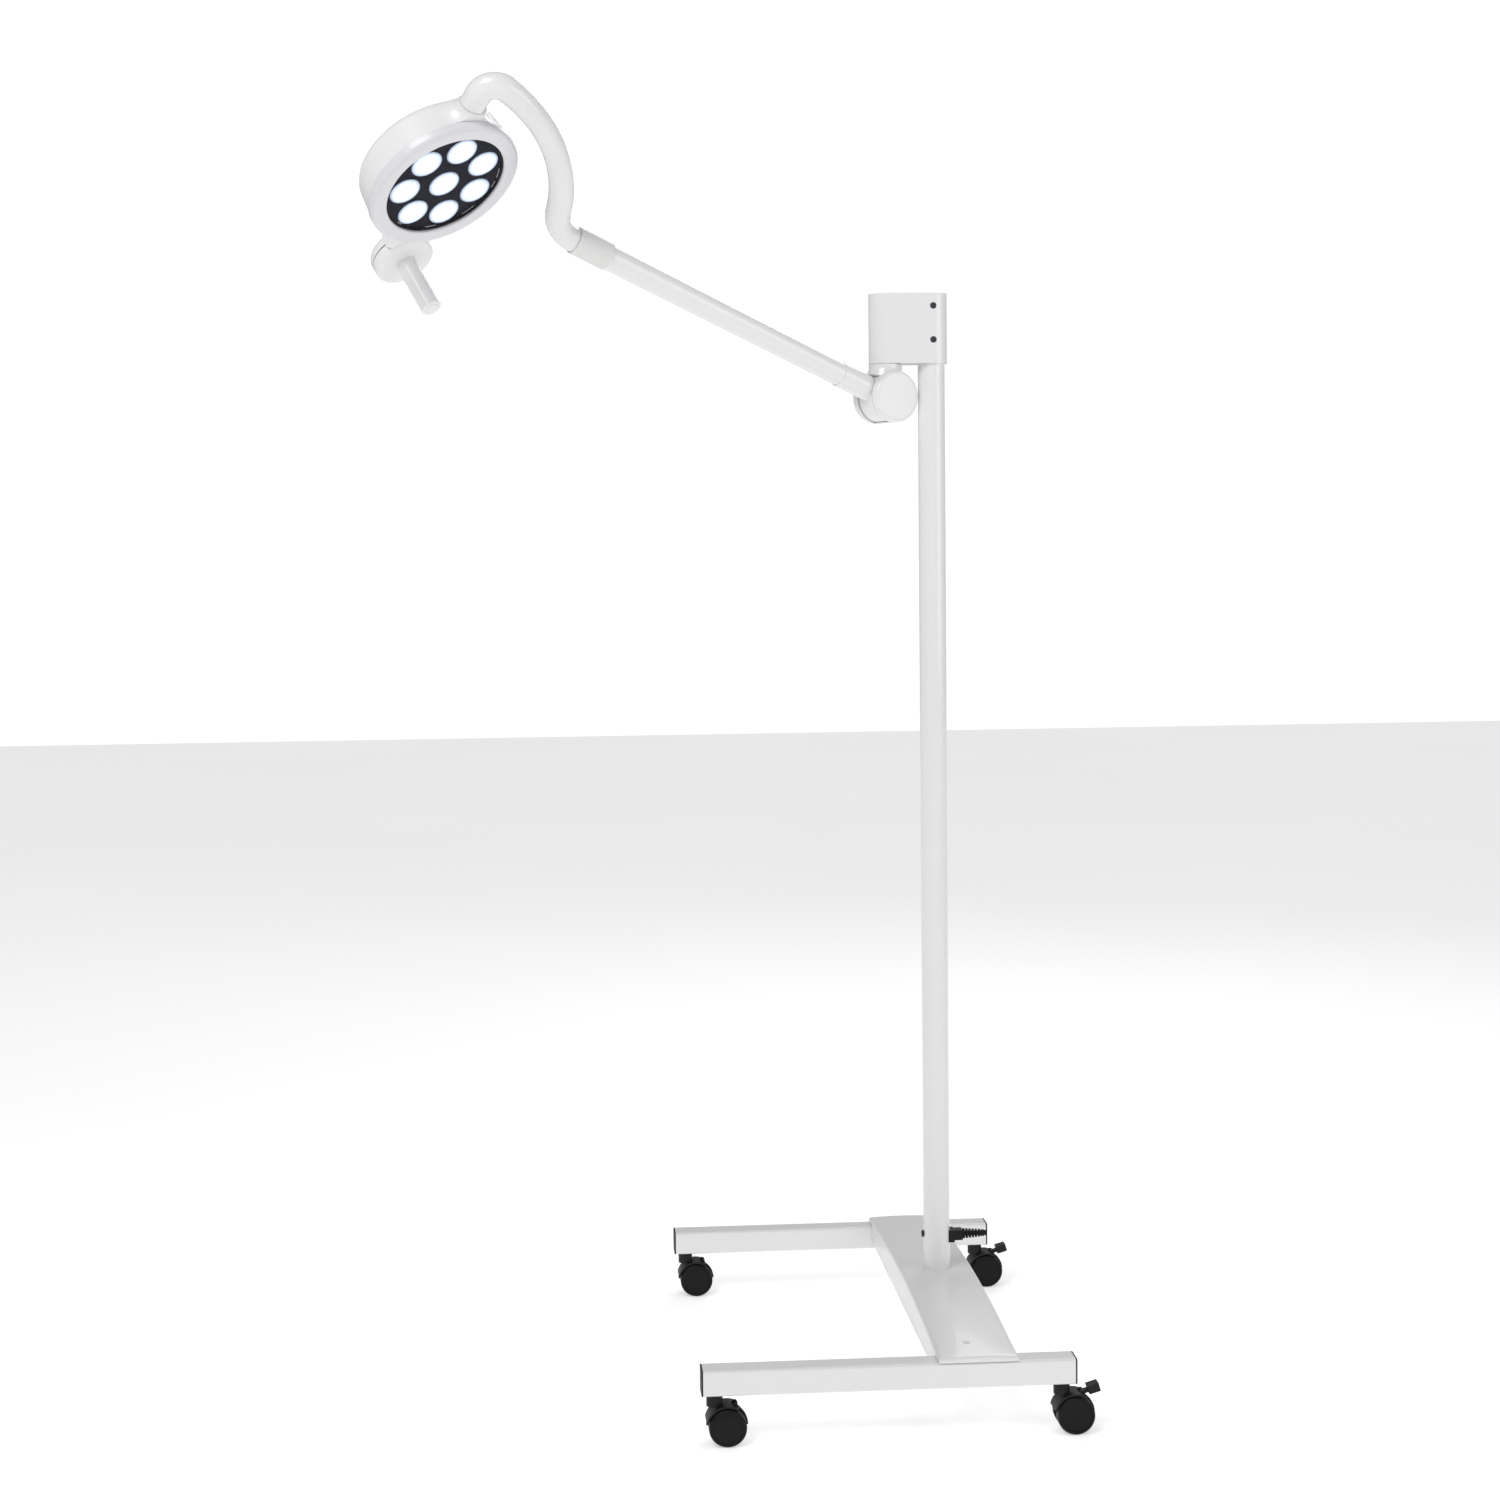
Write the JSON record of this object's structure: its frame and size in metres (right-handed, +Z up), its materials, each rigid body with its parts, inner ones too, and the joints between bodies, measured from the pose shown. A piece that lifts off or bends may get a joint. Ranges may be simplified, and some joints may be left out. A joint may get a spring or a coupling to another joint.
{
  "type": "mobile surgical examination light",
  "caption": "Floor-standing surgical light: caster base with cover, pole, swinging tilt arm, swan-neck tube and a round multi-lens lamp head with a handle pod.",
  "frame": {"origin": "on the floor under the pole axis", "axes": "+X along the legs, away from the arm; +Y across the base towards the back; +Z up"},
  "size_m": [1.0909, 0.901, 2.0328],
  "materials": {
    "white_paint": "glossy powder coat",
    "white_plastic": "glossy moulded",
    "bezel_white": "glossy moulded",
    "satin_ring": "satin",
    "black_plastic": "matte moulded",
    "black_rubber": "matte",
    "wheel_tread": "smooth",
    "steel": "plain turned",
    "black_screw": "blackened",
    "bush": "plain",
    "board": "coated",
    "supply_case": "plain",
    "heat_sink": "plain",
    "lens_plate": "satin",
    "lens": "clear, lit",
    "window": "clear"
  },
  "bodies": {
    "base": {"front_leg": "white_paint", "rear_leg": "white_paint", "cross_beam": "white_paint", "leg_end_caps": "black_plastic", "base_cover": "white_plastic", "cover_screws": "white_plastic", "pole_socket": "steel", "pole_tube": "white_paint", "pole_screws": "black_screw", "power_supply": "supply_case", "power_socket": "black_plastic", "strain_relief": "black_rubber", "bracket_housing": "white_paint", "bracket_cap": "white_paint", "bracket_screws": "steel", "spindle_bushes": "bush", "caster_stems": "steel"},
    "elbow": {"pivot_spindle": "steel", "elbow_housing": "white_paint", "elbow_front_cap": "white_paint", "elbow_rear_cap": "white_paint", "elbow_pin": "steel", "friction_washers": "bush"},
    "arm": {"arm_root": "white_paint", "arm_tube": "white_paint", "arm_collar": "satin_ring", "roll_spigot": "steel"},
    "neck": {"swan_neck": "white_paint", "head_spindle": "steel"},
    "head": {"lamp_housing": "white_plastic", "lamp_rim": "bezel_white", "window_gasket": "black_rubber", "lamp_window": "window", "lens_plate": "lens_plate", "lenses": "lens", "led_board": "board", "heat_sink": "heat_sink", "pod_rear": "white_plastic", "pod_front": "white_plastic", "driver_board": "board", "handle_grip": "white_plastic"},
    "button": {"handle_button": "white_plastic"},
    "front_left_caster": {"front_left_hood": "black_plastic"},
    "front_left_wheel_pair": {"front_left_axle": "steel", "front_left_wheels": "wheel_tread"},
    "front_right_caster": {"front_right_hood": "black_plastic"},
    "front_right_wheel_pair": {"front_right_axle": "steel", "front_right_wheels": "wheel_tread"},
    "rear_left_caster": {"rear_left_hood": "black_plastic"},
    "rear_left_wheel_pair": {"rear_left_axle": "steel", "rear_left_wheels": "wheel_tread"},
    "rear_right_caster": {"rear_right_hood": "black_plastic"},
    "rear_right_wheel_pair": {"rear_right_axle": "steel", "rear_right_wheels": "wheel_tread"},
    "front_brake": {"front_brake_lever": "black_plastic"},
    "rear_brake": {"rear_brake_lever": "black_plastic"}
  },
  "joints": [
    {"name": "arm_yaw", "type": "hinge", "parent": "base", "child": "elbow", "pos_m": [-0.076, 0, 1.604], "axis": [0, 0, 1], "range_deg": [-160, 105]},
    {"name": "arm_tilt", "type": "hinge", "parent": "elbow", "child": "arm", "pos_m": [-0.076, 0, 1.604], "axis": [-0.4695, 0.8829, 0], "range_deg": [-71, 2]},
    {"name": "neck_roll", "type": "hinge", "parent": "arm", "child": "neck", "pos_m": [-0.53679, -0.245, 1.80433], "axis": [-0.8243, -0.4383, 0.3584], "range_deg": [-160, 160]},
    {"name": "head_turn", "type": "hinge", "parent": "neck", "child": "head", "pos_m": [-0.78874, -0.37897, 1.91387], "axis": [-0.4375, 0.6678, -0.6022], "range_deg": [-160, 160]},
    {"name": "button_press", "type": "slide", "parent": "head", "child": "button", "axis": [-0.4344, 0.4294, 0.7918], "range_m": [0, 0.0015], "stiffness_N_per_m": 600, "springref_m": -0.001},
    {"name": "front_left_swivel", "type": "hinge", "parent": "base", "child": "front_left_caster", "pos_m": [-0.403, -0.37, 0.075], "axis": [0, 0, 1], "continuous": true},
    {"name": "front_left_spin", "type": "hinge", "parent": "front_left_caster", "child": "front_left_wheel_pair", "pos_m": [-0.384, -0.37, 0.029], "axis": [0, 1, 0], "continuous": true},
    {"name": "front_right_swivel", "type": "hinge", "parent": "base", "child": "front_right_caster", "pos_m": [0.131, -0.37, 0.075], "axis": [0, 0, 1], "continuous": true},
    {"name": "front_right_spin", "type": "hinge", "parent": "front_right_caster", "child": "front_right_wheel_pair", "pos_m": [0.15, -0.37, 0.029], "axis": [0, 1, 0], "continuous": true},
    {"name": "rear_left_swivel", "type": "hinge", "parent": "base", "child": "rear_left_caster", "pos_m": [-0.403, 0.37, 0.075], "axis": [0, 0, 1], "continuous": true},
    {"name": "rear_left_spin", "type": "hinge", "parent": "rear_left_caster", "child": "rear_left_wheel_pair", "pos_m": [-0.384, 0.37, 0.029], "axis": [0, 1, 0], "continuous": true},
    {"name": "rear_right_swivel", "type": "hinge", "parent": "base", "child": "rear_right_caster", "pos_m": [0.131, 0.37, 0.075], "axis": [0, 0, 1], "continuous": true},
    {"name": "rear_right_spin", "type": "hinge", "parent": "rear_right_caster", "child": "rear_right_wheel_pair", "pos_m": [0.15, 0.37, 0.029], "axis": [0, 1, 0], "continuous": true},
    {"name": "front_brake_press", "type": "hinge", "parent": "front_right_caster", "child": "front_brake", "pos_m": [0.162, -0.37, 0.06], "axis": [0, 1, 0], "range_deg": [0, 18]},
    {"name": "rear_brake_press", "type": "hinge", "parent": "rear_right_caster", "child": "rear_brake", "pos_m": [0.162, 0.37, 0.06], "axis": [0, 1, 0], "range_deg": [0, 18]}
  ]
}
